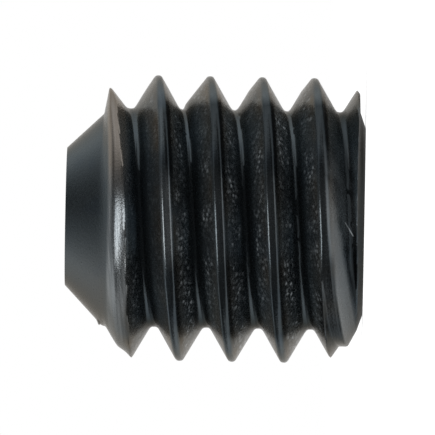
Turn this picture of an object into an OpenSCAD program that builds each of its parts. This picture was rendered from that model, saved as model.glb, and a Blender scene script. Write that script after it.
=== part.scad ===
// Hexagon socket set screw with a cup point: one piece of black oxide steel.
// The thread is right-handed and rolled, so its ridge is lipped and low at both ends.
// It stands on its socket end (z = 0), with +Z along the axis up to the cup point.

/* [Screw] */
// Length from the socket end to the rim of the cup
screw_len = 4; // [3.6:0.1:8]

/* [Thread] */
// Diameter over the crests
major_d = 3.84; // [3.76:0.02:4]
// Distance from one crest to the next
pitch = 0.7; // [0.65:0.01:0.75]
// Angle between the two flanks of the ridge
flank_angle = 60; // [56:1:64]
// Width of the flat at the foot of the groove
root_flat = 0.09; // [0.06:0.005:0.12]
// Radius of the rolled crest
crest_r = 0.075; // [0.05:0.005:0.09]
// Direction in which the ridge runs out at the foot of the point, about the axis
run_out_angle = 0; // [0:5:355]

/* [Point] */
// Diameter of the rim at the point
point_d = 1.84; // [1.75:0.01:2]
// Angle of the outer cone, measured across the axis
point_angle = 90; // [80:1:100]
// Diameter where the outer cone ends at the last ridge
cone_d = 2.84; // [2.7:0.02:2.9]
// Width of the flat rim round the cup
rim_w = 0.08; // [0.04:0.01:0.15]
// Angle of the cup, measured across the axis
cup_angle = 118; // [100:1:130]

/* [Lip at the point] */
// Diameter of the last ridge at its lip
point_lip_d = 3.46; // [3.3:0.01:3.6]
// How far the lip leans away from the cone
point_lip_lean = 0.045; // [0.01:0.005:0.06]
// Length over which the ridge falls from its full height to the lip
point_taper_len = 0.66; // [0.4:0.02:0.9]

/* [Lip at the socket end] */
// Diameter of the flat end face
face_d = 2.5; // [2.44:0.01:2.7]
// Diameter of the bevel round the end face
bevel_d = 2.94; // [2.8:0.02:3.1]
// Depth of that bevel
bevel_h = 0.072; // [0.04:0.004:0.12]
// Diameter of the first ridge at its lip
socket_lip_d = 3.38; // [3.2:0.01:3.6]
// How far the lip leans away from the bevel
socket_lip_lean = 0.034; // [0.01:0.002:0.06]
// Length over which the ridge grows from the lip to its full height
socket_taper_len = 0.6; // [0.4:0.02:0.9]

/* [Socket] */
// Width of the hexagon across its flats
socket_af = 2; // [1.9:0.01:2.04]
// Depth of the full hexagon
socket_depth = 1.8; // [1.5:0.05:2]
// Angle of the cone at the inner end of the socket, measured across the axis
drill_angle = 120; // [110:1:140]
// Diameter of the countersink at the mouth
mouth_d = 2.38; // [2.36:0.005:2.42]
// Angle of that countersink, measured across the axis
mouth_angle = 120; // [100:1:140]

/* [Hidden] */
overrun = 0.1;
crest_steps = 4;
hex_sides = 6;
facet_limit = 11500;
$fn = 96;

major_r = major_d / 2;
point_r = point_d / 2;
flank_half = flank_angle / 2;

// The rounded crest lies below the sharp apex of its two flanks.
apex_h = (pitch - root_flat) / 2 / tan(flank_half);
thread_h = apex_h - crest_r * (1 / sin(flank_half) - 1);
root_r = major_r - thread_h;
crest_centre_r = major_r - crest_r;

cone_h = (cone_d / 2 - point_r) / tan(point_angle / 2);
cup_r = point_r - rim_w;

hex_corner_r = socket_af / 2 / cos(180 / hex_sides);
drill_h = socket_af / 2 / tan(drill_angle / 2);

// The sweep starts and ends a turn or more outside the screw, and the blank trims it.
run_out_z = screw_len - cone_h;
turns_below = ceil(screw_len / pitch) + 1;
turns_above = 2;
turns = turns_below + turns_above;
start_z = run_out_z - pitch * turns_below;

// One ridge along the axis, as [offset from its centre, radius].
ridge_profile = concat(
    [[-(pitch - root_flat) / 2, root_r]],
    [for (step = [0:crest_steps])
        let (lean = (90 - flank_half) * (2 * step / crest_steps - 1))
        [crest_r * sin(lean), crest_centre_r + crest_r * cos(lean)]],
    [[(pitch - root_flat) / 2, root_r]]
);

// A longer screw has coarser turns, so that the facets stay within their limit.
facets_per_side = 2 * len(ridge_profile) * turns;
sides_per_turn = hex_sides * floor(facet_limit / facets_per_side / hex_sides);

// Half section of the trimmed screw, as [radius, height]: flat face, bevel, lip and
// taper at the socket end, then taper, lip and cone at the point.
socket_lip_z = bevel_h + socket_lip_lean;
point_lip_z = run_out_z - point_lip_lean;
blank_profile = [
    [0, 0],
    [face_d / 2, 0],
    [bevel_d / 2, bevel_h],
    [socket_lip_d / 2, socket_lip_z],
    [major_r, socket_lip_z + socket_taper_len],
    [major_r + overrun, socket_lip_z + socket_taper_len],
    [major_r + overrun, point_lip_z - point_taper_len],
    [major_r, point_lip_z - point_taper_len],
    [point_lip_d / 2, point_lip_z],
    [cone_d / 2, run_out_z],
    [point_r, screw_len],
    [0, screw_len]
];

// Endless thread: one ridge swept along a right-hand helix and closed to the axis.
module thread() {
    rows = len(ridge_profile);
    steps = turns * sides_per_turn;
    foot = (steps + 1) * rows;
    head = foot + 1;
    function at(step, row) = step * rows + row;
    sweep = [for (step = [0:steps])
        let (angle = run_out_angle + 360 * step / sides_per_turn,
             z = start_z + pitch * step / sides_per_turn)
        for (point = ridge_profile)
            [point[1] * cos(angle), point[1] * sin(angle), z + point[0]]];
    axis_ends = [[0, 0, start_z], [0, 0, start_z + pitch * turns]];
    ridge_faces = [for (step = [0:steps - 1], row = [0:rows - 2], half = [0, 1])
        half == 0
            ? [at(step, row), at(step, row + 1), at(step + 1, row)]
            : [at(step + 1, row), at(step, row + 1), at(step + 1, row + 1)]];
    groove_faces = [for (step = [0:steps - sides_per_turn - 1], half = [0, 1])
        let (above = step + sides_per_turn)
        half == 0
            ? [at(step, rows - 1), at(above, 0), at(step + 1, rows - 1)]
            : [at(step + 1, rows - 1), at(above, 0), at(above + 1, 0)]];
    foot_loop = concat(
        [for (step = [0:sides_per_turn]) at(step, 0)],
        [for (row = [rows - 1:-1:0]) at(0, row)]
    );
    last_turn = steps - sides_per_turn;
    head_loop = concat(
        [for (step = [last_turn:steps]) at(step, rows - 1)],
        [for (row = [rows - 2:-1:0]) at(steps, row)],
        [at(last_turn, rows - 1)]
    );
    foot_faces = [for (i = [0:len(foot_loop) - 2]) [foot, foot_loop[i], foot_loop[i + 1]]];
    head_faces = [for (i = [0:len(head_loop) - 2]) [head, head_loop[i + 1], head_loop[i]]];
    polyhedron(concat(sweep, axis_ends), concat(ridge_faces, groove_faces, foot_faces, head_faces));
}

// Cone of radius r at z = 0, with its tip below and its rim run past the face it cuts.
module countersink(r, angle) {
    depth = r / tan(angle / 2);
    translate([0, 0, -depth])
        cylinder(h = depth + overrun, r1 = 0, r2 = r + overrun * tan(angle / 2));
}

// Hexagon with a drilled cone at its inner end and a countersink at its mouth.
module socket() {
    translate([0, 0, -overrun])
        cylinder(h = socket_depth + overrun, r = hex_corner_r, $fn = hex_sides);
    translate([0, 0, socket_depth])
        cylinder(h = drill_h, r1 = socket_af / 2, r2 = 0);
    rotate([180, 0, 0])
        countersink(mouth_d / 2, mouth_angle);
}

// Hollow cone that leaves a narrow flat rim at the point.
module cup() {
    translate([0, 0, screw_len])
        countersink(cup_r, cup_angle);
}

module set_screw() {
    color("#26282a")
        difference() {
            intersection() {
                thread();
                rotate_extrude() polygon(blank_profile);
            }
            socket();
            cup();
        }
}

set_screw();
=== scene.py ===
"""Set screw with a cup point: the blackened steel piece, its stage and its camera."""

import math

import bpy
from mathutils import Matrix, Vector


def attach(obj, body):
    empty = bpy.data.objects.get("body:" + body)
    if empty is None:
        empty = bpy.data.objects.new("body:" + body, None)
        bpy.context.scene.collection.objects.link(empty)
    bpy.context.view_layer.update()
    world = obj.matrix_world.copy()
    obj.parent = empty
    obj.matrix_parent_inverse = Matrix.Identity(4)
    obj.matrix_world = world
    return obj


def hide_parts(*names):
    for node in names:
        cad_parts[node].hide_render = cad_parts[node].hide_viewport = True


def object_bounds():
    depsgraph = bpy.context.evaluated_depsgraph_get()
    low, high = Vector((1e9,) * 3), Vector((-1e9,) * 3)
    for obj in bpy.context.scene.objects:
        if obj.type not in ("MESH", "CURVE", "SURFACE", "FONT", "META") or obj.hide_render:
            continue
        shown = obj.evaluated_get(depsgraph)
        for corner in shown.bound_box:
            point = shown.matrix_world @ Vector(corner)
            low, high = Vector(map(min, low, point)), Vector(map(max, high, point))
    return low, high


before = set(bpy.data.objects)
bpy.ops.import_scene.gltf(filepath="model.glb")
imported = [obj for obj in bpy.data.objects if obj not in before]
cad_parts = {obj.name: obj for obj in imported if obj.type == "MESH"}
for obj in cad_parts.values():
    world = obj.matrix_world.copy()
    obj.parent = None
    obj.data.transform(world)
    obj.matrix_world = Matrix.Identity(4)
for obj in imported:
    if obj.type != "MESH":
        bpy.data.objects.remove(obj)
CAD_LOW, CAD_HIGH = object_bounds()

bl_info = {
    "name": "Cup Point Set Screw",
    "version": (1, 0, 0),
    "blender": (4, 5, 0),
    "location": "View3D > Sidebar > Set Screw",
    "description": "Makes a blackened set screw with a rolled thread, and a studio for it",
    "category": "Object",
}

MM = 0.001
CAD_NODE = "set_screw"

# The kinds of node that are used most.
MATH = "ShaderNodeMath"
VECTOR = "ShaderNodeVectorMath"
RAMP = "ShaderNodeMapRange"
MIX = "ShaderNodeMix"
NOISE = "ShaderNodeTexNoise"

# Columns round the axis, a multiple of the six sides of the socket, and rows in one turn of the thread.
SIDES = 288
ROWS_PER_TURN = 36
HEX_STEP = math.tau / 6
# Share by which the rows of the thread crowd towards the crest, where the form is finest.
CROWDING = 0.6
# Directions from the screw to the soft box, to the dim ceiling and to the bright side of the room.
KEY_WAY = (-0.21, -0.67, 0.73)
CEILING_WAY = (0.2, 0.0, 0.98)
BRIGHT_WAY = (0.35, 0.94, 0.0)
# Middle of the rubbed stretch of the last ridge, where the wear also carries a painted highlight, and
# the two ends of a scratch near the socket end.
RUB_AND_HIGHLIGHT_SPOT = (-0.35 * MM, -1.6 * MM, 0.0)
SCRATCH = (Vector((-0.023, 0.0, 0.255)) * MM, Vector((-0.196, 0.0, 0.145)) * MM)
# Slopes along X of the foot of the painted reflection band on the first ridge, and of its edge next to
# the crest.
BAND_SLOPE = -0.22
CREST_SLOPE = -0.08
# How much finer the rolling lines are across the helix than along it.
LINE_STRETCH = 24.0
# Depths below the rim of the cup between which the flatter part of a flank shortens, and its lengths.
FILL_DEPTHS = (1.95 * MM, 2.3 * MM)
FILL_LENGTHS = (0.26 * MM, 0.12 * MM)
# Light that the paper gives off by itself, as the camera and as the gloss of the screw see it.
PAPER_GLOW = 0.5
GLOSS_GLOW = 0.25
# Points closer than this are the same point, and edges that turn more than this stay sharp.
WELD = 0.0001 * MM
SHARP_ANGLE = math.radians(35)


def linear(code):
    """Turns an sRGB hex colour such as #8a8580 into linear red, green and blue."""
    shares = [int(code[i:i + 2], 16) / 255 for i in (1, 3, 5)]
    return tuple(c / 12.92 if c <= 0.04045 else ((c + 0.055) / 1.055) ** 2.4 for c in shares)


def size_mm(name, description, value):
    """Length property with its default in millimetres."""
    return bpy.props.FloatProperty(
        name=name, description=description, default=value * MM, unit="LENGTH", precision=5)


def number(name, description, value):
    """Property for a plain number from 0 up."""
    return bpy.props.FloatProperty(name=name, description=description, default=value, min=0)


def angle_deg(name, description, value):
    """Angle property with its default in degrees."""
    return bpy.props.FloatProperty(
        name=name, description=description, default=math.radians(value), unit="ROTATION")


def colour_hex(name, description, code):
    """Colour property with its default as an sRGB hex colour."""
    return bpy.props.FloatVectorProperty(
        name=name, description=description, default=linear(code), subtype="COLOR", min=0, max=1)


class ScrewSizes(bpy.types.PropertyGroup):
    """Sizes of the set screw. A skew is how far a size grows on the +X side and shrinks on -X."""

    length: size_mm("Length", "Socket end to rim of the cup", (CAD_HIGH.z - CAD_LOW.z) / MM)
    crest_d: size_mm("Crest diameter", "Diameter over the crests", (CAD_HIGH.x - CAD_LOW.x) / MM)
    root_d: size_mm("Root diameter", "Diameter at the foot of the groove", 2.925)
    pitch: size_mm("Pitch", "Distance from one crest to the next", 0.7)
    flank_angle: angle_deg("Flank angle", "Angle between the two flanks of the ridge", 60)
    crest_round: size_mm("Crest rounding", "Radius of the rolled crest", 0.052)
    crest_shift: size_mm("Crest shift", "Lean of the crest to the cup between the two sides", 0.02)
    crest_flat: size_mm("Crest flat", "Half of the width of its flat top between the two sides", 0.022)
    crest_lean: size_mm("Crest lean", "Lean of the crest to the cup at a flank fill of 1", 0.02)
    run_out: size_mm("Run-out", "Rim of the cup to the last crest on the +X side", 0.508)
    flank_fill: number("Flank fill", "How much flatter the flank to the cup is on the +X side", 0.43)
    point_d: size_mm("Point diameter", "Outer diameter of the rim of the cup", 1.85)
    point_angle: angle_deg("Point angle", "Angle of the outer cone across the axis", 90)
    cone_lean: angle_deg("Cone lean", "How much flatter the cone is on the +X side than on -X", 1.6)
    cone_len: size_mm("Cone length", "Rim of the cup to the foot of the cone", 0.51)
    cone_skew: size_mm("Cone skew", "Change of the cone's length round the axis", -0.022)
    point_lip_at: size_mm("Point lip place", "Rim of the cup to the lip of the last ridge", 0.635)
    point_lip_shift: size_mm("Point lip shift", "Change of that place round the axis", -0.085)
    point_lip_d: size_mm("Point lip diameter", "Diameter of the last ridge at its lip", 3.464)
    point_lip_dip: size_mm("Point lip dip", "How much lower the lip is between the two sides", 0.07)
    point_lip_round: size_mm("Point lip rounding", "Reach of the rounding at that lip", 0.075)
    point_foot_round: size_mm("Point foot rounding", "Reach of the hollow between cone and ridge", 0.1)
    point_taper: angle_deg("Point taper", "Angle at which the last ridge falls to its lip", 33)
    burr_at: size_mm("Burr place", "Rim of the cup to the burr at the foot of the cone, on -X", 0.462)
    burr_w: size_mm("Burr width", "Half of the width of that burr along the axis", 0.028)
    burr_h: size_mm("Burr height", "How far that burr stands out", 0.045)
    thin_len: size_mm("Thin length", "Length of the last ridge that is thin on the +X side", 0.34)
    thin_h: size_mm("Thin height", "Height that its flank lacks there", 0.16)
    face_d: size_mm("Face diameter", "Diameter of the flat socket end", 2.5)
    bevel_d: size_mm("Bevel diameter", "Diameter of the bevel round the socket end", 2.92)
    bevel_h: size_mm("Bevel height", "Height of that bevel", 0.072)
    socket_lip_at: size_mm("Socket lip place", "Socket end to the lip of the first ridge", 0.1355)
    socket_lip_shift: size_mm("Socket lip shift", "Change of that place round the axis", -0.0545)
    step_at: size_mm("Step place", "First crest to the step beside the land that it starts from", 0.03)
    run_in_at: size_mm("Run-in place", "Socket end to the crest where it starts to grow", 0.355)
    run_in: size_mm("Run-in", "Climb of the helix over which the first crest grows to its height", 0.15)
    socket_lip_d: size_mm("Socket lip diameter", "Diameter of the first ridge at its lip", 3.39)
    socket_lip_skew: size_mm("Socket lip skew", "Change of the lip's radius round the axis", 0.012)
    socket_lip_round: size_mm("Socket lip rounding", "Reach of the rounding at that lip", 0.05)
    step_angle: angle_deg("Step angle", "Angle at which that step rises", 56)
    socket_af: size_mm("Socket width", "Hexagon across its flats", 2)
    socket_depth: size_mm("Socket depth", "Depth of the full hexagon", 1.8)
    drill_angle: angle_deg("Drill angle", "Angle of the cone at the inner end of the socket", 120)
    mouth_d: size_mm("Mouth diameter", "Diameter of the countersink round the socket", 2.38)
    mouth_angle: angle_deg("Mouth angle", "Angle of that countersink across the axis", 120)
    rim_w: size_mm("Rim width", "Width of the flat rim round the cup", 0.08)
    cup_angle: angle_deg("Cup angle", "Angle of the cup across the axis", 118)
    edge_round: size_mm("Edge rounding", "Reach of the rounding at sharp edges", 0.022)
    trim_round: size_mm("Trim rounding", "Reach of the rounding where the ends trim the thread", 0.04)
    root_round: size_mm("Root rounding", "Reach of the hollow at the foot of the groove", 0.08)
    wander: size_mm("Wander", "How far the rolled crest strays from a true helix", 0.008)
    wander_len: size_mm("Wander length", "Distance over which it strays", 0.45)


class ScrewFinish(bpy.types.PropertyGroup):
    """Colours of the black oxide, of the steel it bares, and of the painted shade, highlight and
    reflection laid over them.
    """

    oxide: colour_hex("Oxide", "Black oxide where it is whole", "#5a6368")
    oxide_cool: colour_hex("Cool oxide", "Bluish areas of the oxide", "#566067")
    oxide_warm: colour_hex("Warm oxide", "Brownish oxide, thinner towards the crests", "#605d58")
    # Groove colour: painted shade in the grooves and on the crests, darkening their colour and gloss.
    groove: colour_hex("Groove", "Thick oily oxide at the foot of the thread", "#1c1f21")
    # Also the colour of the painted highlight on the last ridge and of the painted reflection on the
    # first ridge.
    worn: colour_hex("Worn edge", "Steel that shows through where it is rubbed", "#a0a5a8")
    # Colour of the painted reflection on the last ridge's +X side.
    brown: colour_hex("Brown edge", "Brownish steel of the last ridge on the +X side", "#93877b")
    # Also the colour of the painted light in the groove next to the socket end.
    speck: colour_hex("Speck", "Bright specks of steel on the flanks", "#b4bbbf")
    grazing: colour_hex("Grazing tint", "What is left of the gloss at a grazing angle", "#c1bbb3")
    roughness: bpy.props.FloatProperty(
        name="Roughness", description="Roughness of the oiled oxide", default=0.22,
        min=0, max=1, subtype="FACTOR")


class StudioSettings(bpy.types.PropertyGroup):
    """Camera, light and floor."""

    view_w: size_mm("View width", "Width of the picture at the screw", 5.839)
    lens: bpy.props.FloatProperty(
        name="Lens", description="Focal length in millimetres", default=1400, unit="CAMERA")
    camera_h: size_mm("Camera height", "Height of the camera over the floor", 0.8)
    camera_roll: angle_deg("Camera roll", "Turn of the picture from a level axis", 1.05)
    aim_right: size_mm("Aim right", "Middle of the picture, right of the screw's middle", 0.0322)
    aim_up: size_mm("Aim up", "Middle of the picture, above the screw's middle", 0.0188)
    key_power: bpy.props.FloatProperty(
        name="Key power", description="Power of the soft box", default=0.135, unit="POWER")
    key_w: size_mm("Key width", "Length of the soft box", 150)
    key_h: size_mm("Key height", "Breadth of the soft box", 100)
    key_distance: size_mm("Key distance", "Distance of the soft box from the screw", 200)
    room: number("Room light", "Level of the soft light all round", 0.6)
    dark_side: number("Dark side", "Level of the room behind the camera", 0.04)
    ceiling: number("Ceiling", "Level of the room overhead", 0.03)
    low_side: number("Low side", "Level of the room on the -X side", 0.9)
    beside: number("Beside", "Level of the room straight towards -X", 0.12)
    floor_w: size_mm("Floor width", "Width of the floor", 700)
    paper: colour_hex("Paper", "White of the floor", "#f4f4f4")


def add(tree, kind, inputs=(), **settings):
    """Adds a node with its settings, and links or sets its inputs, given in order or by name."""
    node = tree.nodes.new(kind)
    for name, value in settings.items():
        setattr(node, name, value)
    pairs = zip([socket for socket in node.inputs if socket.enabled], inputs)
    if isinstance(inputs, dict):
        pairs = [(node.inputs[name], value) for name, value in inputs.items()]
    for socket, value in pairs:
        for source in value if isinstance(value, list) else [value]:
            if isinstance(source, bpy.types.Node):
                source = next(output for output in source.outputs if output.enabled)
            if isinstance(source, bpy.types.NodeSocket):
                tree.links.new(source, socket)
            else:
                socket.default_value = source
    return node


def empty_tree(owner):
    """Node tree of a material or a world, with nothing in it yet."""
    owner.use_nodes = True
    owner.node_tree.nodes.clear()
    return owner.node_tree


def over_nearest_crest(tree, height, last_crest_z, pitch, around):
    """Distance along the axis from the nearest crest of a true helix."""
    climbed = add(tree, MATH, [height, last_crest_z], operation="SUBTRACT")
    turns = add(tree, MATH, [climbed, pitch], operation="DIVIDE")
    turns = add(tree, MATH, [turns, around], operation="SUBTRACT")
    share = add(tree, MATH, [turns, -0.5, 0.5], operation="WRAP")
    return add(tree, MATH, [share, pitch], operation="MULTIPLY", label="Over the crest")


def crest_offset(tree, size, spot, around, height):
    """Distance along the axis from the nearest crest, which strays a little from a true helix."""
    stray = add(tree, NOISE, {
        "Vector": spot,
        "Scale": add(tree, MATH, [1.0, size["wander_len"]], operation="DIVIDE"),
        "Detail": 1.0})
    stray = add(tree, MATH, [stray, 0.5], operation="SUBTRACT")
    strayed = add(tree, MATH, [stray, size["wander"], height], operation="MULTIPLY_ADD")
    return over_nearest_crest(tree, strayed, size["run_out_z"], size["pitch"], around)


def thread_outline(tree, size, over_crest, side, between, height, depth):
    """Radius of the endless thread: straight flanks, a flat root and a rounded crest."""
    shift = add(tree, MATH, [between, size["crest_shift"]], operation="MULTIPLY")

    # On the +X side the rolling left the flanks towards the cup flatter, and the crests lean that way,
    # but not on the last ridge.
    fuller = add(tree, RAMP, [side, 0.6, 1.0, 0.0, 1.0], interpolation_type="SMOOTHSTEP")
    inward = add(tree, MATH, [size["pitch"], 2.2], operation="MULTIPLY")
    deeper = add(tree, RAMP, [depth, size["pitch"], inward, 0.0, size["flank_fill"]])
    higher = add(tree, RAMP, [height, 0.0, size["pitch"], 0.12, 1.0])
    fill = add(tree, MATH, [fuller, deeper], operation="MULTIPLY")
    fill = add(tree, MATH, [fill, higher], operation="MULTIPLY")
    shift = add(tree, MATH, [fill, size["crest_lean"], shift], operation="MULTIPLY_ADD")
    over_crest = add(tree, MATH, [over_crest, shift], operation="SUBTRACT")
    from_crest = add(tree, MATH, [over_crest], operation="ABSOLUTE")
    flat = add(tree, MATH, [between, size["crest_flat"]], operation="MULTIPLY")
    from_crest = add(tree, MATH, [from_crest, flat], operation="SUBTRACT")
    from_crest = add(tree, MATH, [from_crest, 0.0], operation="MAXIMUM")

    # The crest is an arc as far as the flanks touch it, and goes on as a straight flank.
    flank_half = add(tree, MATH, [size["flank_angle"], 0.5], operation="MULTIPLY")
    lean = add(tree, MATH, [flank_half], operation="TANGENT")
    share = add(tree, MATH, [flank_half], operation="COSINE")
    touch = add(tree, MATH, [size["crest_round"], share], operation="MULTIPLY")
    on_arc = add(tree, MATH, [from_crest, touch], operation="MINIMUM")
    off_arc = add(tree, MATH, [from_crest, on_arc], operation="SUBTRACT")
    round_sq = add(tree, MATH, [size["crest_round"], 2.0], operation="POWER")
    arc_sq = add(tree, MATH, [on_arc, 2.0], operation="POWER")
    arc_h = add(tree, MATH, [round_sq, arc_sq], operation="SUBTRACT")
    arc_h = add(tree, MATH, [arc_h], operation="SQRT")
    middle_r = add(tree, MATH, [size["crest_r"], size["crest_round"]], operation="SUBTRACT")
    crest = add(tree, MATH, [middle_r, arc_h], operation="ADD", label="Crest")
    fall = add(tree, MATH, [off_arc, lean], operation="DIVIDE")
    ridge = add(tree, MATH, [crest, fall], operation="SUBTRACT", label="Ridge")

    # The flatter part of a flank reaches the root near the cup, and ends short of it further down.
    above = add(tree, MATH, [over_crest, touch], operation="SUBTRACT")
    above = add(tree, MATH, [above, 0.0], operation="MAXIMUM")
    to_foot = add(tree, RAMP, [depth, *FILL_DEPTHS, *FILL_LENGTHS])
    above = add(tree, MATH, [above, to_foot], operation="MINIMUM")
    ridge = add(tree, MATH, [above, fill, ridge], operation="MULTIPLY_ADD", label="Flank fill")

    # The last ridge was not filled by the rolling where it runs out.
    thin_end = add(tree, MATH, [size["run_out"], size["thin_len"]], operation="ADD")
    thin = add(tree, RAMP, [depth, size["run_out"], thin_end, size["thin_h"], 0.0])
    run_out_side = add(tree, RAMP, [side, 0.0, 0.4, 0.0, 1.0], interpolation_type="SMOOTHSTEP")
    thin = add(tree, MATH, [thin, run_out_side], operation="MULTIPLY")
    ridge = add(tree, MATH, [ridge, thin], operation="SUBTRACT", label="Run-out")
    return add(tree, MATH, [ridge, size["root_r"], size["root_round"]],
               operation="SMOOTH_MAX", label="Thread")


def point_outline(tree, size, side, between, depth):
    """Radius of the point at a depth below the rim of the cup: cone, lip and falling ridge."""
    half = add(tree, MATH, [size["point_angle"], 0.5], operation="MULTIPLY")
    lean = add(tree, MATH, [size["cone_lean"], side], operation="MULTIPLY")
    half = add(tree, MATH, [half, lean], operation="SUBTRACT")
    slope = add(tree, MATH, [half], operation="TANGENT")
    cone = add(tree, MATH, [depth, slope, size["point_r"]], operation="MULTIPLY_ADD")
    foot_r = add(tree, MATH, [size["cone_foot"], slope, size["point_r"]], operation="MULTIPLY_ADD")
    dip = add(tree, MATH, [between, size["point_lip_dip"]], operation="MULTIPLY")
    lip_r = add(tree, MATH, [size["point_lip_r"], dip], operation="SUBTRACT")
    lip = add(tree, RAMP, [depth, size["cone_foot"], size["point_lip_depth"], foot_r, lip_r],
              clamp=False, label="Point lip")
    past_lip = add(tree, MATH, [depth, size["point_lip_depth"]], operation="SUBTRACT")
    rise = add(tree, MATH, [size["point_taper"]], operation="TANGENT")
    share = add(tree, RAMP, [side, -1.0, 0.0, 1.0, 0.6])
    rise = add(tree, MATH, [rise, share], operation="MULTIPLY")
    taper = add(tree, MATH, [past_lip, rise, lip_r], operation="MULTIPLY_ADD")
    reach = add(tree, MATH, [between, size["point_lip_round"], size["edge_round"]],
                operation="MULTIPLY_ADD")
    ridge = add(tree, MATH, [lip, taper, reach], operation="SMOOTH_MIN")

    # A burr stands out where the cone was cut off, over a few degrees on the -X side.
    from_burr = add(tree, MATH, [depth, size["burr_at"]], operation="SUBTRACT")
    from_burr = add(tree, MATH, [from_burr], operation="ABSOLUTE")
    burr = add(tree, RAMP, [from_burr, 0.0, size["burr_w"], size["burr_h"], 0.0])
    at_burr = add(tree, RAMP, [side, -0.975, -0.995, 0.0, 1.0])
    cone = add(tree, MATH, [burr, at_burr, cone], operation="MULTIPLY_ADD", label="Burr")
    hollow = add(tree, MATH, [between, size["point_foot_round"], size["edge_round"]],
                 operation="MULTIPLY_ADD")
    return add(tree, MATH, [cone, ridge, hollow], operation="SMOOTH_MAX", label="Point")


def socket_outline(tree, size, over_crest, side, height):
    """Radius of the socket end at a height over its face: bevel, lip and rising ridge."""
    bevel = add(tree, RAMP,
                [height, 0.0, size["bevel_h"], size["face_r"], size["bevel_r"]], label="Bevel")
    lip_r = add(tree, MATH, [side, size["socket_lip_skew"], size["socket_lip_r"]],
                operation="MULTIPLY_ADD")
    over_bevel = add(tree, MATH, [height, size["bevel_h"]], operation="MAXIMUM")
    lip_gain = add(tree, MATH, [lip_r, size["bevel_r"]], operation="SUBTRACT")
    gain = add(tree, RAMP,
               [over_bevel, size["bevel_h"], size["socket_lip_z"], 0.0, lip_gain], clamp=False)
    lip = add(tree, MATH, [bevel, gain], operation="ADD", label="Socket lip")

    # The first crest starts as a flat land with a step beside it, and grows along the helix.
    crest_z = add(tree, MATH, [height, over_crest], operation="SUBTRACT")
    grown_z = add(tree, MATH, [size["run_in_at"], size["run_in"]], operation="ADD")
    land = add(tree, RAMP, [crest_z, size["run_in_at"], grown_z, lip_r, size["crest_r"]], label="Land")
    past_lip = add(tree, MATH, [height, size["socket_lip_z"]], operation="SUBTRACT")
    past_land = add(tree, MATH, [over_crest, size["step_at"]], operation="ADD")
    past_land = add(tree, MATH, [past_land, past_lip], operation="MINIMUM")
    rise = add(tree, MATH, [size["step_angle"]], operation="TANGENT")
    step = add(tree, MATH, [past_land, rise, lip_r], operation="MULTIPLY_ADD")
    ridge = add(tree, MATH, [land, step, size["edge_round"]], operation="SMOOTH_MAX")
    return add(tree, MATH, [lip, ridge, size["socket_lip_round"]],
               operation="SMOOTH_MIN", label="Socket end")


def cone_height(tree, radius, angle):
    """Height of a cone of this radius, with its angle measured across the axis."""
    half = add(tree, MATH, [angle, 0.5], operation="MULTIPLY")
    slope = add(tree, MATH, [half], operation="TANGENT")
    return add(tree, MATH, [radius, slope], operation="DIVIDE")


def socket_rings(tree, size, turn):
    """Rings from the drilled tip of the socket out to the end face, as pairs of radius and height."""
    inner_r = add(tree, MATH, [size["socket_af"], 0.5], operation="MULTIPLY")
    in_side = add(tree, MATH, [turn, HEX_STEP], operation="MODULO")
    from_middle = add(tree, MATH, [in_side, HEX_STEP / 2], operation="SUBTRACT")
    spread = add(tree, MATH, [from_middle], operation="COSINE")
    hexagon = add(tree, MATH, [inner_r, spread], operation="DIVIDE", label="Hexagon")
    drill_h = cone_height(tree, inner_r, size["drill_angle"])
    tip_z = add(tree, MATH, [size["socket_depth"], drill_h], operation="ADD")
    mouth_w = add(tree, MATH, [size["mouth_r"], hexagon], operation="SUBTRACT")
    mouth_z = cone_height(tree, mouth_w, size["mouth_angle"])
    return [
        (0.0, tip_z),
        (inner_r, size["socket_depth"]),
        (hexagon, size["socket_depth"]),
        (hexagon, mouth_z),
        (size["mouth_r"], 0.0),
        (size["face_r"], 0.0),
    ]


def cup_rings(tree, size):
    """Rings from the outer edge of the rim to the foot of the cup, as pairs of radius and height."""
    cup_r = add(tree, MATH, [size["point_r"], size["rim_w"]], operation="SUBTRACT")
    cup_h = cone_height(tree, cup_r, size["cup_angle"])
    foot_z = add(tree, MATH, [size["length"], cup_h], operation="SUBTRACT")
    return [(size["point_r"], size["length"]), (cup_r, size["length"]), (0.0, foot_z)]


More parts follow.
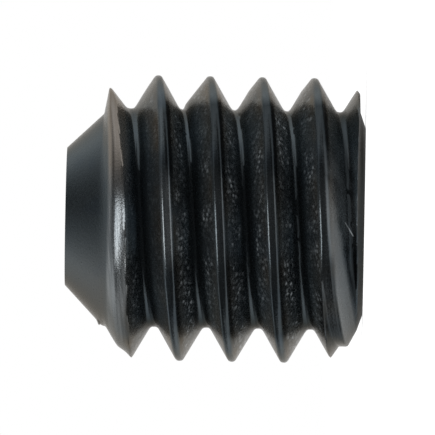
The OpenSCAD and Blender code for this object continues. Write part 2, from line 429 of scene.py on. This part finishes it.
def screw_form():
    """Node tree of the whole screw: flat sheets, given a height and a radius, wrapped round the axis.

    On a sheet, X is the place round the axis less a half. Y and Z run over the raw sheet first, and
    then hold the height and the radius.
    """
    tree = bpy.data.node_groups.new("set_screw_form", "GeometryNodeTree")
    names = {key: ScrewSizes.bl_rna.properties[key].name for key in ScrewSizes.__annotations__}
    for name in names.values():
        tree.interface.new_socket(name, in_out="INPUT", socket_type="NodeSocketFloat")
    tree.interface.new_socket("Material", in_out="INPUT", socket_type="NodeSocketMaterial")
    tree.interface.new_socket("Geometry", in_out="OUTPUT", socket_type="NodeSocketGeometry")
    given = add(tree, "NodeGroupInput")

    # A key that ends in _d is a diameter, and its radius has the same key with _r.
    size = {}
    for key, name in names.items():
        size[key] = given.outputs[name]
        if key.endswith("_d"):
            radius = add(tree, MATH, [size[key], 0.5], operation="MULTIPLY")
            size[key[:-1] + "r"] = radius

    # Place on the sheet, and how far it is turned to the +X side and away from both sides.
    place = add(tree, "ShaderNodeSeparateXYZ", [add(tree, "GeometryNodeInputPosition")]).outputs
    around = add(tree, MATH, [place["X"], 0.5], operation="ADD", label="Around")
    along = add(tree, MATH, [place["Y"], 0.5], operation="ADD", label="Along")
    turn = add(tree, MATH, [around, math.tau], operation="MULTIPLY")
    side = add(tree, MATH, [turn], operation="COSINE", label="Side")
    front = add(tree, MATH, [turn], operation="SINE")
    side_sq = add(tree, MATH, [side, 2.0], operation="POWER")
    between = add(tree, MATH, [1.0, side_sq], operation="SUBTRACT", label="Between the sides")

    # The foot of the cone and the two lips lie at other heights on the +X side than on -X.
    size["run_out_z"] = add(tree, MATH, [size["length"], size["run_out"]], operation="SUBTRACT")
    size["cone_foot"] = add(tree, MATH, [side, size["cone_skew"], size["cone_len"]],
                            operation="MULTIPLY_ADD")
    size["socket_lip_z"] = add(tree, MATH, [side, size["socket_lip_shift"], size["socket_lip_at"]],
                               operation="MULTIPLY_ADD")
    far_side = add(tree, MATH, [side, 3.0], operation="POWER")
    size["point_lip_depth"] = add(tree, MATH, [far_side, size["point_lip_shift"], size["point_lip_at"]],
                                  operation="MULTIPLY_ADD")
    cone_foot_z = add(tree, MATH, [size["length"], size["cone_foot"]], operation="SUBTRACT")
    point_lip_z = add(tree, MATH, [size["length"], size["point_lip_depth"]], operation="SUBTRACT")

    # Rows of the thread follow its helix, crowd at the crest and stop at the two lips.
    ridges = add(tree, MATH, [size["length"], size["pitch"]], operation="DIVIDE")
    ridges = add(tree, MATH, [ridges], operation="CEIL")
    rows = add(tree, MATH, [ridges, ROWS_PER_TURN, 1.0], operation="MULTIPLY_ADD")
    before_end = add(tree, MATH, [along, 1.0], operation="SUBTRACT")
    row_turn = add(tree, MATH, [before_end, ridges], operation="MULTIPLY")
    row_phase = add(tree, MATH, [row_turn, math.tau], operation="MULTIPLY")
    row_wave = add(tree, MATH, [row_phase], operation="SINE")
    crowded = add(tree, MATH, [row_wave, -CROWDING / math.tau, row_turn], operation="MULTIPLY_ADD")
    on_helix = add(tree, MATH, [crowded, around], operation="ADD")
    helix_z = add(tree, MATH, [on_helix, size["pitch"], size["run_out_z"]], operation="MULTIPLY_ADD")
    thread_z = add(tree, "ShaderNodeClamp", [helix_z, size["socket_lip_z"], point_lip_z])

    # The outside, from the bevel at the socket end to the cone, is a radius at every height. Each sheet
    # has its count of rows and the heights of its two ends.
    sheets = [(rows, thread_z)]
    for count, low, high in [
        (4, 0.0, size["bevel_h"]),
        (9, size["bevel_h"], size["socket_lip_z"]),
        (15, point_lip_z, cone_foot_z),
        (41, cone_foot_z, size["length"]),
    ]:
        sheets.append((count, add(tree, MIX, [along, low, high])))
    outside = []
    for count, height in sheets:
        grid = add(tree, "GeometryNodeMeshGrid", [1.0, 1.0, SIDES + 1, count])
        spot = add(tree, "ShaderNodeCombineXYZ", [place["X"], height, 0.0])
        outside.append(add(tree, "GeometryNodeSetPosition", {"Geometry": grid, "Position": spot}))
    outside = add(tree, "GeometryNodeJoinGeometry", [outside])
    reach_x = add(tree, MATH, [side, size["crest_r"]], operation="MULTIPLY")
    reach_y = add(tree, MATH, [front, size["crest_r"]], operation="MULTIPLY")
    spot = add(tree, "ShaderNodeCombineXYZ", [reach_x, reach_y, place["Y"]])
    depth = add(tree, MATH, [size["length"], place["Y"]], operation="SUBTRACT")
    over_crest = crest_offset(tree, size, spot, around, place["Y"])
    thread = thread_outline(tree, size, over_crest, side, between, place["Y"], depth)
    point = point_outline(tree, size, side, between, depth)
    end = socket_outline(tree, size, over_crest, side, place["Y"])
    trimmed = add(tree, MATH, [thread, point, size["trim_round"]], operation="SMOOTH_MIN")
    trimmed = add(tree, MATH, [trimmed, end, size["trim_round"]], operation="SMOOTH_MIN")
    spot = add(tree, "ShaderNodeCombineXYZ", [place["X"], place["Y"], trimmed])
    pieces = [add(tree, "GeometryNodeSetPosition", {"Geometry": outside, "Position": spot})]

    # The socket, the end face, the rim and the cup are bands from one ring to the next.
    for rings in (socket_rings(tree, size, turn), cup_rings(tree, size)):
        for (low_r, low_z), (high_r, high_z) in zip(rings, rings[1:]):
            grid = add(tree, "GeometryNodeMeshGrid", [1.0, 1.0, SIDES + 1, 2])
            radius = add(tree, MIX, [along, low_r, high_r])
            height = add(tree, MIX, [along, low_z, high_z])
            spot = add(tree, "ShaderNodeCombineXYZ", [place["X"], height, radius])
            pieces.append(add(tree, "GeometryNodeSetPosition", {"Geometry": grid, "Position": spot}))

    # All of it is wrapped round the axis, welded, and shaded smooth between its sharp edges.
    joined = add(tree, "GeometryNodeJoinGeometry", [pieces])
    wrapped_x = add(tree, MATH, [side, place["Z"]], operation="MULTIPLY")
    wrapped_y = add(tree, MATH, [front, place["Z"]], operation="MULTIPLY")
    spot = add(tree, "ShaderNodeCombineXYZ", [wrapped_x, wrapped_y, place["Y"]])
    wrapped = add(tree, "GeometryNodeSetPosition", {"Geometry": joined, "Position": spot})
    welded = add(tree, "GeometryNodeMergeByDistance", {"Geometry": wrapped, "Distance": WELD})
    smooth = add(tree, "GeometryNodeSetShadeSmooth", [welded, True, True])
    bend = add(tree, "GeometryNodeInputMeshEdgeAngle")
    sharp = add(tree, MATH, [bend, SHARP_ANGLE], operation="GREATER_THAN")
    edged = add(tree, "GeometryNodeSetShadeSmooth", [smooth, sharp, False], domain="EDGE")
    real = add(tree, "GeometryNodeRealizeInstances", [edged])
    finished = add(tree, "GeometryNodeSetMaterial", [real, True, given.outputs["Material"]])
    add(tree, "NodeGroupOutput", [finished])
    return tree


def scratch_mask(tree, place, y):
    """One short scratch through the oxide, on the -Y side near the socket end."""
    run = SCRATCH[1] - SCRATCH[0]
    from_start = add(tree, VECTOR, [place, SCRATCH[0]], operation="SUBTRACT")
    from_start = add(tree, VECTOR, [from_start, (1, 0, 1)], operation="MULTIPLY")
    share = add(tree, VECTOR, [from_start, run / run.length_squared],
                operation="DOT_PRODUCT").outputs["Value"]
    share = add(tree, "ShaderNodeClamp", [share, 0.0, 1.0])
    nearest = add(tree, VECTOR, {0: run, "Scale": share}, operation="SCALE")
    off_line = add(tree, VECTOR, [from_start, nearest], operation="DISTANCE").outputs["Value"]
    scratch = add(tree, RAMP, [off_line, 0.004 * MM, 0.011 * MM, 0.7, 0.0])
    in_front = add(tree, MATH, [y, 0.0], operation="LESS_THAN")
    return add(tree, MATH, [scratch, in_front], operation="MULTIPLY")


def black_oxide_steel(finish, sizes):
    """Black oxide on rolled steel, oiled: a dark satin gloss, specked flanks and a rubbed last ridge.

    The oxide is a thin dark film with a blue or brown cast, painted near black in the grooves as
    painted shade.
    Rolling leaves fine lines along the helix, and bare steel glints in small specks on the flanks.
    Painted highlights and reflections lighten parts of the two end ridges, and painted light the groove
    by the socket end.
    """
    material = bpy.data.materials.new("black_oxide_steel")
    tree = empty_tree(material)
    place = add(tree, "ShaderNodeTexCoord").outputs["Object"]
    xyz = add(tree, "ShaderNodeSeparateXYZ", [place]).outputs

    # Distance from the nearest crest, along the axis, and radius. What is only on the thread keeps to
    # the outside, off the cone, the cup and the socket.
    angle = add(tree, MATH, [xyz["Y"], xyz["X"]], operation="ARCTAN2")
    around = add(tree, MATH, [angle, math.tau], operation="DIVIDE")
    last_crest_z = sizes.length - sizes.run_out
    over_crest = over_nearest_crest(tree, xyz["Z"], last_crest_z, sizes.pitch, around)
    from_crest = add(tree, MATH, [over_crest], operation="ABSOLUTE")
    across = add(tree, VECTOR, [place, (1.0, 1.0, 0.0)], operation="MULTIPLY")
    radius = add(tree, VECTOR, [across], operation="LENGTH").outputs["Value"]
    outside = add(tree, RAMP, [radius, 1.3 * MM, 1.4 * MM, 0.0, 1.0])

    # The oxide has a blue cast in patches of half a millimetre, and a brown one just below the
    # crests and on the -X side of the cone.
    cast = add(tree, NOISE, {"Vector": place, "Scale": 1 / (0.6 * MM), "Detail": 3.0})
    cool = add(tree, RAMP, [cast, 0.36, 0.5, 1.0, 0.0], interpolation_type="SMOOTHSTEP")
    patchy = add(tree, RAMP, [cast, 0.4, 0.6, 0.4, 1.0])
    high = add(tree, RAMP, [radius, 1.62 * MM, 1.84 * MM, 0.0, 1.0])
    bared = add(tree, RAMP, [radius, 1.85 * MM, 1.9 * MM, 1.0, 0.1])
    warm = add(tree, MATH, [patchy, high], operation="MULTIPLY")
    warm = add(tree, MATH, [warm, bared], operation="MULTIPLY")
    lip_z = sizes.length - sizes.point_lip_at
    cone_z = sizes.length - sizes.cone_len
    on_cone = add(tree, RAMP, [xyz["Z"], lip_z, cone_z, 0.0, 1.0])
    low_cone = add(tree, RAMP, [xyz["X"], -0.1 * MM, -1.0 * MM, 0.0, 0.5])
    low_cone = add(tree, MATH, [low_cone, on_cone], operation="MULTIPLY")
    warm = add(tree, MATH, [warm, low_cone], operation="MAXIMUM")

    # On the first ridge the flank towards the socket end is painted paler, down to a slanting edge, and
    # paler still towards -X: a painted reflection of the floor.
    slanted = add(tree, MATH, [xyz["X"], BAND_SLOPE, xyz["Z"]], operation="MULTIPLY_ADD")
    in_band = add(tree, RAMP, [slanted, 0.34 * MM, 0.41 * MM, 0.0, 1.0])
    band_edge = add(tree, MATH, [xyz["X"], CREST_SLOPE, over_crest], operation="MULTIPLY_ADD")
    facing = add(tree, RAMP, [band_edge, -0.005 * MM, -0.03 * MM, 0.0, 0.36])
    first = add(tree, RAMP, [xyz["Z"], 0.5 * MM, 0.58 * MM, 1.0, 0.0])
    lower = add(tree, RAMP, [xyz["X"], 0.1 * MM, 0.8 * MM, 1.0, 0.0])
    lowest = add(tree, RAMP, [xyz["X"], -0.5 * MM, -1.4 * MM, 1.0, 1.9])
    pale = facing
    for mask in (in_band, first, lower, lowest, outside):
        pale = add(tree, MATH, [pale, mask], operation="MULTIPLY")

    # In the groove the oxide is painted almost black and its gloss dark: painted shade in the recess,
    # less so on the +X side.
    under_point = lip_z - sizes.pitch / 3
    inner = add(tree, RAMP, [xyz["Z"], under_point, under_point + 0.1 * MM, 1.0, 0.0])
    groove = add(tree, RAMP, [from_crest, 0.2 * MM, 0.31 * MM, 0.0, 0.38],
                 interpolation_type="SMOOTHSTEP")
    outer = add(tree, RAMP, [xyz["Z"], 0.4 * MM, 0.55 * MM, 0.0, 1.0])
    full = add(tree, MATH, [inner, outer], operation="MULTIPLY")
    full = add(tree, MATH, [full, outside], operation="MULTIPLY")
    thinner = add(tree, RAMP, [xyz["X"], 0.8 * MM, 1.4 * MM, 1.0, 0.4])

    # Painted shade is darkest at the foot of the groove next to the socket end, up to that slanting
    # edge, and on the -X side it climbs the flanks a little.
    painted_pool_shade = add(tree, RAMP, [slanted, 0.41 * MM, 0.34 * MM, 0.0, 0.88])
    at_root = add(tree, RAMP, [from_crest, 0.28 * MM, 0.32 * MM, 0.0, 1.0])
    off_bevel = add(tree, RAMP, [xyz["Z"], 0.075 * MM, 0.1 * MM, 0.0, 1.0])
    at_foot = add(tree, RAMP, [from_crest, 0.22 * MM, 0.27 * MM, 0.0, 1.0])
    low_end = add(tree, RAMP, [xyz["X"], -0.2 * MM, -0.8 * MM, 0.0, 1.0])
    at_foot = add(tree, MATH, [at_foot, low_end], operation="MULTIPLY")
    pool_shade_reach = add(tree, MATH, [at_root, at_foot], operation="MAXIMUM")

    # The flat at the foot of the groove is painted darker away from the two sides: painted shade, so
    # that it looks lit only near the sides.
    from_middle = add(tree, MATH, [xyz["X"]], operation="ABSOLUTE")
    root = add(tree, RAMP, [from_middle, 1.0 * MM, 1.35 * MM, 0.55, 0.0])

    # The land that the first crest starts from, and the corner of its step, are painted darker too,
    # with painted shade.
    crest_z = add(tree, MATH, [xyz["Z"], over_crest], operation="SUBTRACT")
    land = add(tree, RAMP, [crest_z, 0.445 * MM, 0.485 * MM, 0.58, 0.0])
    off_band = add(tree, RAMP, [band_edge, -0.03 * MM, -0.005 * MM, 0.0, 1.0])
    off_groove = add(tree, RAMP, [over_crest, 0.12 * MM, 0.2 * MM, 1.0, 0.0])
    off_sides = add(tree, RAMP, [from_middle, 1.4 * MM, 1.7 * MM, 1.0, 0.0])

    # Painted shade also lies along the socket side of each crest, dimming its highlight, but not in the
    # middle or at the two sides.
    edge = add(tree, RAMP, [from_middle, 0.35 * MM, 0.6 * MM, 0.0, 0.75])
    by_side = add(tree, RAMP, [xyz["X"], -0.2 * MM, 0.4 * MM, 0.67, 1.0])
    off_flank = add(tree, RAMP, [over_crest, -0.11 * MM, -0.08 * MM, 0.0, 1.0])
    off_top = add(tree, RAMP, [over_crest, 0.0, 0.03 * MM, 1.0, 0.0])
    off_cone = add(tree, RAMP, [radius, 1.6 * MM, 1.7 * MM, 0.0, 1.0])
    off_last = add(tree, MATH, [inner, 0.5, 0.5], operation="MULTIPLY_ADD")

    # The crests are painted darker too between the two sides, painted shade that dims their highlights,
    # and least so on the crest next to the last ridge.
    painted_crest_shade = add(tree, RAMP, [from_middle, 1.53 * MM, 1.66 * MM, 1.0, 0.0])
    upper = add(tree, RAMP, [xyz["X"], 0.2 * MM, 0.7 * MM, 0.7, 1.0])
    on_crest = add(tree, RAMP, [over_crest, 0.05 * MM, 0.08 * MM, 1.0, 0.0])
    by_turn = add(tree, RAMP, [xyz["Z"], 2.2 * MM, 2.6 * MM, 0.66, 0.3])

    # Where two of these painted shades meet, the darker one counts.
    painted_shade = 0.0
    for oil, *masks in (
        (groove, full, thinner, outside),
        (painted_pool_shade, pool_shade_reach, off_bevel, thinner, outside),
        (root, at_root, full, thinner, outside),
        (land, off_band, off_groove, off_sides, thinner, outside),
        (edge, by_side, off_sides, off_flank, off_top, off_cone, off_last),
        (painted_crest_shade, upper, on_crest, off_flank, by_turn, full),
    ):
        for mask in masks:
            oil = add(tree, MATH, [oil, mask], operation="MULTIPLY")
        painted_shade = add(tree, MATH, [painted_shade, oil], operation="MAXIMUM")

    # The painted shade also darkens the tint of the gloss, which shows most at a grazing angle.
    gloss = add(tree, MIX, {
        "Factor": painted_shade, 6: (*finish.grazing, 1), 7: (*finish.groove, 1)}, data_type="RGBA")

    # Fine lines from the rolling dies run along the helix.
    lines_at = add(tree, MATH, [from_crest, LINE_STRETCH, xyz["Z"]], operation="MULTIPLY_ADD")
    lines_at = add(tree, "ShaderNodeCombineXYZ", [xyz["X"], xyz["Y"], lines_at])
    lines = add(tree, NOISE, {"Vector": lines_at, "Scale": 1 / (0.7 * MM), "Detail": 3.0})

    # The last ridge is rubbed along those lines, down to the steel, and paler round the spot where the
    # key light's highlight falls: wear with a painted highlight. So are the crests on the -Y side, the
    # camera's side, but less towards the socket end.
    rubbed = add(tree, RAMP, [lines, 0.38, 0.62, 0.45, 1.0])
    standing = add(tree, RAMP, [radius, 1.53 * MM, 1.6 * MM, 0.0, 1.0])
    last = add(tree, MATH, [1.0, inner], operation="SUBTRACT")
    from_rub = add(tree, VECTOR, [across, RUB_AND_HIGHLIGHT_SPOT], operation="DISTANCE").outputs["Value"]
    near_highlight = add(tree, RAMP, [from_rub, 0.4 * MM, 1.1 * MM, 0.85, 0.35])
    wear_and_highlight = add(tree, MATH, [last, standing], operation="MULTIPLY")
    wear_and_highlight = add(tree, MATH, [wear_and_highlight, near_highlight], operation="MULTIPLY")
    top = add(tree, RAMP, [radius, 1.87 * MM, 1.9 * MM, 0.0, 1.0])
    front = add(tree, RAMP, [xyz["Y"], -1.77 * MM, -1.88 * MM, 0.0, 0.6])
    most = add(tree, RAMP, [xyz["Z"], 2.1 * MM, 2.5 * MM, 0.25, 1.0])
    for mask in (front, most):
        top = add(tree, MATH, [top, mask], operation="MULTIPLY")
    wear_and_highlight = add(tree, MATH, [wear_and_highlight, top], operation="MAXIMUM")
    wear_and_highlight = add(tree, MATH, [wear_and_highlight, rubbed], operation="MULTIPLY")

    # The last ridge is painted a paler brown on the +X side: a painted reflection with a brown cast.
    browned_reflection = add(tree, RAMP, [xyz["X"], 0.25 * MM, 0.7 * MM, 0.0, 0.55])
    for mask in (last, standing):
        browned_reflection = add(tree, MATH, [browned_reflection, mask], operation="MULTIPLY")

    # Specks of bare steel sit in rows at mid-flank and are fainter near the cup. They are drawn large
    # enough to show as single dots.
    cells = add(tree, "ShaderNodeTexVoronoi", {"Vector": place, "Scale": 1 / (0.065 * MM)})
    dot = add(tree, RAMP, [cells.outputs["Distance"], 0.2, 0.6, 1.0, 0.0])
    lot = add(tree, "ShaderNodeSeparateColor", [cells.outputs["Color"]]).outputs["Red"]
    chosen = add(tree, RAMP, [lot, 0.2, 1.0, 0.0, 0.7])
    low_edge = add(tree, RAMP, [from_crest, 0.07 * MM, 0.13 * MM, 0.0, 1.0])
    high_edge = add(tree, RAMP, [from_crest, 0.23 * MM, 0.28 * MM, 1.0, 0.0])
    strewn = add(tree, NOISE, {"Vector": place, "Scale": 1 / (0.4 * MM), "Detail": 2.0})
    strewn = add(tree, RAMP, [strewn, 0.4, 0.6, 0.3, 1.0])
    speck = add(tree, MATH, [dot, chosen], operation="MULTIPLY")
    pebble = add(tree, NOISE, {"Vector": place, "Scale": 1 / (0.04 * MM), "Detail": 1.0})
    pebble = add(tree, RAMP, [pebble, 0.5, 0.75, 0.0, 0.34])
    speck = add(tree, MATH, [speck, pebble], operation="MAXIMUM")
    under = add(tree, RAMP, [over_crest, -0.05 * MM, 0.05 * MM, 1.3, 0.75])
    by_cup = add(tree, RAMP, [xyz["Z"], 2.4 * MM, 2.75 * MM, 1.0, 0.4])
    for mask in (low_edge, high_edge, full, strewn, under, by_cup):
        speck = add(tree, MATH, [speck, mask], operation="MULTIPLY")

    # A thin grey film is painted in the groove next to the socket end, between the painted pool shade
    # and the +X side: painted light that makes that part of the groove lighter. It goes in with the
    # specks.
    film = add(tree, RAMP, [slanted, 0.42 * MM, 0.36 * MM, 0.0, 0.18])
    off_pool = add(tree, RAMP, [xyz["X"], -0.6 * MM, -0.1 * MM, 0.0, 1.0])
    below_top = add(tree, RAMP, [xyz["X"], 0.7 * MM, 1.1 * MM, 1.0, 0.0])
    off_root = add(tree, RAMP, [over_crest, -0.31 * MM, -0.27 * MM, 0.1, 1.0])
    for mask in (off_pool, below_top, off_root, off_bevel, outside, strewn):
        film = add(tree, MATH, [film, mask], operation="MULTIPLY")
    for mask in (film, scratch_mask(tree, place, xyz["Y"])):
        speck = add(tree, MATH, [speck, mask], operation="MAXIMUM")
    metal = add(tree, RAMP, [speck, 0.0, 1.0, 0.9, 0.1])

    # The colours are laid over the whole oxide one after the other, each as far as its mask goes; some
    # of them are painted shade, highlights, reflections and light.
    colour = (*finish.oxide, 1)
    for mask, coat in (
        (cool, finish.oxide_cool),
        (warm, finish.oxide_warm),
        (pale, finish.worn),
        (painted_shade, finish.groove),
        (wear_and_highlight, finish.worn),
        (browned_reflection, finish.brown),
        (speck, finish.speck),
    ):
        layer = {"Factor": mask, 6: colour, 7: (*coat, 1)}
        colour = add(tree, MIX, layer, data_type="RGBA").outputs[2]

    # Roughness varies with the grain of the oxide.
    grain = add(tree, NOISE, {"Vector": place, "Scale": 1 / (0.03 * MM), "Detail": 4.0})
    rough = add(tree, RAMP, [grain, 0.3, 0.7, finish.roughness - 0.06, finish.roughness + 0.08])

    # The lines stand over a fine pebbled grain.
    relief = add(tree, MATH, [lines, 0.6, grain], operation="MULTIPLY_ADD")
    bump = add(tree, "ShaderNodeBump", {"Strength": 1.0, "Distance": 0.002 * MM, "Height": relief})

    shader = add(tree, "ShaderNodeBsdfPrincipled", {
        "Base Color": colour, "Metallic": metal, "Roughness": rough, "Normal": bump,
        "Specular Tint": gloss.outputs[2]})
    add(tree, "ShaderNodeOutputMaterial", {"Surface": shader})
    return material


def white_paper(studio):
    """Matt white paper: an even pale ground that keeps the shadow and looks white in the gloss."""
    material = bpy.data.materials.new("white_paper")
    tree = empty_tree(material)
    fibre = add(tree, NOISE, {"Scale": 1 / (0.5 * MM), "Detail": 4.0})
    relief = add(tree, "ShaderNodeBump", {"Strength": 0.2, "Distance": 0.01 * MM, "Height": fibre})
    paper = add(tree, "ShaderNodeBsdfDiffuse", {"Color": (*studio.paper, 1), "Normal": relief})
    ray = add(tree, "ShaderNodeLightPath").outputs
    shiny = add(tree, MATH, [ray["Is Glossy Ray"], ray["Is Transmission Ray"]], operation="MAXIMUM")
    lift = add(tree, MIX, [ray["Is Camera Ray"], 0.0, PAPER_GLOW])
    lift = add(tree, MATH, [shiny, GLOSS_GLOW, lift], operation="MULTIPLY_ADD")
    glow = add(tree, "ShaderNodeEmission", {"Color": (1, 1, 1, 1), "Strength": lift})
    lit = add(tree, "ShaderNodeAddShader", [paper, glow])

    # Low along its near side, the paper shows the screw's gloss a painted reflection of the dim room
    # behind the camera: a dim glow, to glossy rays only, in a strip on the camera's side.
    low = add(tree, "ShaderNodeLayerWeight", {"Blend": 0.5}).outputs["Facing"]
    low = add(tree, RAMP, [low, 0.2, 0.45, 0.0, 1.0])
    spot = add(tree, "ShaderNodeSeparateXYZ", [add(tree, "ShaderNodeTexCoord").outputs["Object"]])
    near = add(tree, RAMP, [spot.outputs["Y"], -4 * MM, -2 * MM, 1.0, 0.0])
    painted_dim_reflection = add(tree, MATH, [low, near], operation="MULTIPLY")
    painted_dim_reflection = add(tree, MATH, [painted_dim_reflection, ray["Is Glossy Ray"]], operation="MULTIPLY")
    dim = add(tree, "ShaderNodeEmission", {"Color": (1, 1, 1, 1), "Strength": studio.dark_side})
    paper = add(tree, "ShaderNodeMixShader", [painted_dim_reflection, lit, dim])
    add(tree, "ShaderNodeOutputMaterial", {"Surface": paper})
    return material


def light_room(studio):
    """World: white to the camera, soft all round for the screw, dim overhead and behind the camera."""
    world = bpy.data.worlds.new("soft_room")
    bpy.context.scene.world = world
    tree = empty_tree(world)
    way = add(tree, "ShaderNodeTexCoord").outputs["Generated"]
    back = add(tree, VECTOR, [way, BRIGHT_WAY], operation="DOT_PRODUCT").outputs["Value"]
    behind = add(tree, RAMP, [back, -0.45, 0.05, studio.dark_side, 0.95],
                 interpolation_type="SMOOTHSTEP")
    over = add(tree, VECTOR, [way, CEILING_WAY], operation="DOT_PRODUCT").outputs["Value"]
    above = add(tree, RAMP, [over, 0.7, 1.0, 1.0, studio.ceiling])
    side = add(tree, "ShaderNodeSeparateXYZ", [way]).outputs["X"]
    low_side = add(tree, RAMP, [side, -0.45, 0.05, studio.low_side, 1.0])
    beside = add(tree, RAMP, [side, -0.95, -0.6, studio.beside, 1.0], interpolation_type="SMOOTHSTEP")
    room = behind
    for part in (above, low_side, beside):
        room = add(tree, MATH, [room, part], operation="MULTIPLY")
    ray = add(tree, "ShaderNodeLightPath").outputs
    shiny = add(tree, MATH, [ray["Is Glossy Ray"], ray["Is Transmission Ray"]], operation="MAXIMUM")
    level = add(tree, MIX, [shiny, studio.room, room])
    level = add(tree, MIX, [ray["Is Camera Ray"], level, 1.0])
    background = add(tree, "ShaderNodeBackground", {"Color": (1, 1, 1, 1), "Strength": level})
    add(tree, "ShaderNodeOutputWorld", {"Surface": background})


def light_key(studio):
    """Soft box over the point, on the camera's side, which draws the gleam along the crests."""
    lamp = bpy.data.lights.new("key_light", "AREA")
    lamp.shape = "RECTANGLE"
    lamp.size = studio.key_w
    lamp.size_y = studio.key_h
    lamp.energy = studio.key_power
    key = bpy.data.objects.new("key_light", lamp)
    bpy.context.scene.collection.objects.link(key)
    way = Vector(KEY_WAY).normalized()
    key.location = way * studio.key_distance
    key.rotation_euler = (-way).to_track_quat("-Z", "Y").to_euler()
    key.visible_camera = False


def lay_floor(studio):
    """Sheet of white paper under the screw."""
    half = studio.floor_w / 2
    mesh = bpy.data.meshes.new("floor")
    mesh.from_pydata([(-half, -half, 0), (half, -half, 0), (half, half, 0), (-half, half, 0)], [],
                     [(0, 1, 2, 3)])
    mesh.materials.append(white_paper(studio))
    floor = bpy.data.objects.new("floor", mesh)
    bpy.context.scene.collection.objects.link(floor)


def set_camera(studio, sizes):
    """Camera square to the side of the screw, turned so that the point is at the left."""
    camera = bpy.data.cameras.new("camera")
    camera.sensor_width = 36
    camera.lens = studio.lens
    camera.clip_start = 10 * MM
    camera.clip_end = 10
    distance = studio.view_w * camera.lens / camera.sensor_width
    middle = Vector((0, 0, sizes.length / 2))
    back = Vector((0, -distance, studio.camera_h - middle.z)).normalized()
    level_right = (Vector((0, 0, -1)) + back * back.z).normalized()
    level_up = back.cross(level_right)
    roll = studio.camera_roll
    right = level_right * math.cos(roll) + level_up * math.sin(roll)
    up = level_up * math.cos(roll) - level_right * math.sin(roll)
    spot = middle + right * studio.aim_right + up * studio.aim_up + back * distance
    eye = bpy.data.objects.new("camera", camera)
    eye.matrix_world = Matrix.Translation(spot) @ Matrix((right, up, back)).transposed().to_4x4()
    bpy.context.scene.collection.objects.link(eye)
    bpy.context.scene.camera = eye


class SETSCREW_OT_make_screw(bpy.types.Operator):
    """Make the set screw in black oxide steel"""

    bl_idname = "set_screw.make_screw"
    bl_label = "Make Set Screw"
    bl_options = {"REGISTER", "UNDO"}

    def execute(self, context):
        sizes = context.scene.set_screw_sizes
        screw = bpy.data.objects.new("black_oxide_screw", bpy.data.meshes.new("blank"))
        context.scene.collection.objects.link(screw)
        form = screw.modifiers.new("form", "NODES")
        form.node_group = screw_form()
        keys = iter(ScrewSizes.__annotations__)
        for socket in form.node_group.interface.items_tree:
            if socket.socket_type == "NodeSocketFloat":
                form[socket.identifier] = getattr(sizes, next(keys))
            elif socket.socket_type == "NodeSocketMaterial":
                form[socket.identifier] = black_oxide_steel(context.scene.set_screw_finish, sizes)
        evaluated = screw.evaluated_get(context.evaluated_depsgraph_get())
        mesh = bpy.data.meshes.new_from_object(evaluated)
        if not mesh.polygons:
            raise RuntimeError("the set screw's form came out empty")
        screw.modifiers.clear()
        screw.data = mesh
        mesh.name = "black_oxide_screw"
        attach(screw, "root")
        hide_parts(CAD_NODE)
        return {"FINISHED"}


class SETSCREW_OT_make_studio(bpy.types.Operator):
    """Make the floor, the light and the camera"""

    bl_idname = "set_screw.make_studio"
    bl_label = "Make Studio"
    bl_options = {"REGISTER", "UNDO"}

    def execute(self, context):
        studio = context.scene.set_screw_studio
        context.scene.view_settings.view_transform = "Standard"
        lay_floor(studio)
        light_room(studio)
        light_key(studio)
        set_camera(studio, context.scene.set_screw_sizes)
        return {"FINISHED"}


class SETSCREW_PT_panel(bpy.types.Panel):
    """Sizes, colours and studio of the set screw"""

    bl_idname = "SETSCREW_PT_panel"
    bl_label = "Set Screw"
    bl_space_type = "VIEW_3D"
    bl_region_type = "UI"
    bl_category = "Set Screw"

    def draw(self, context):
        for group in ("set_screw_sizes", "set_screw_finish", "set_screw_studio"):
            box = self.layout.box()
            settings = getattr(context.scene, group)
            for key in type(settings).__annotations__:
                box.prop(settings, key)
        for operator in (SETSCREW_OT_make_screw, SETSCREW_OT_make_studio):
            self.layout.operator(operator.bl_idname)


CLASSES = (
    ScrewSizes,
    ScrewFinish,
    StudioSettings,
    SETSCREW_OT_make_screw,
    SETSCREW_OT_make_studio,
    SETSCREW_PT_panel,
)


def register():
    for cls in CLASSES:
        bpy.utils.register_class(cls)
    bpy.types.Scene.set_screw_sizes = bpy.props.PointerProperty(type=ScrewSizes)
    bpy.types.Scene.set_screw_finish = bpy.props.PointerProperty(type=ScrewFinish)
    bpy.types.Scene.set_screw_studio = bpy.props.PointerProperty(type=StudioSettings)


def unregister():
    del bpy.types.Scene.set_screw_studio
    del bpy.types.Scene.set_screw_finish
    del bpy.types.Scene.set_screw_sizes
    for cls in reversed(CLASSES):
        bpy.utils.unregister_class(cls)


def main():
    """Makes the screw and its studio."""
    register()
    bpy.ops.set_screw.make_screw()
    bpy.ops.set_screw.make_studio()


if __name__ == "__main__":
    main()
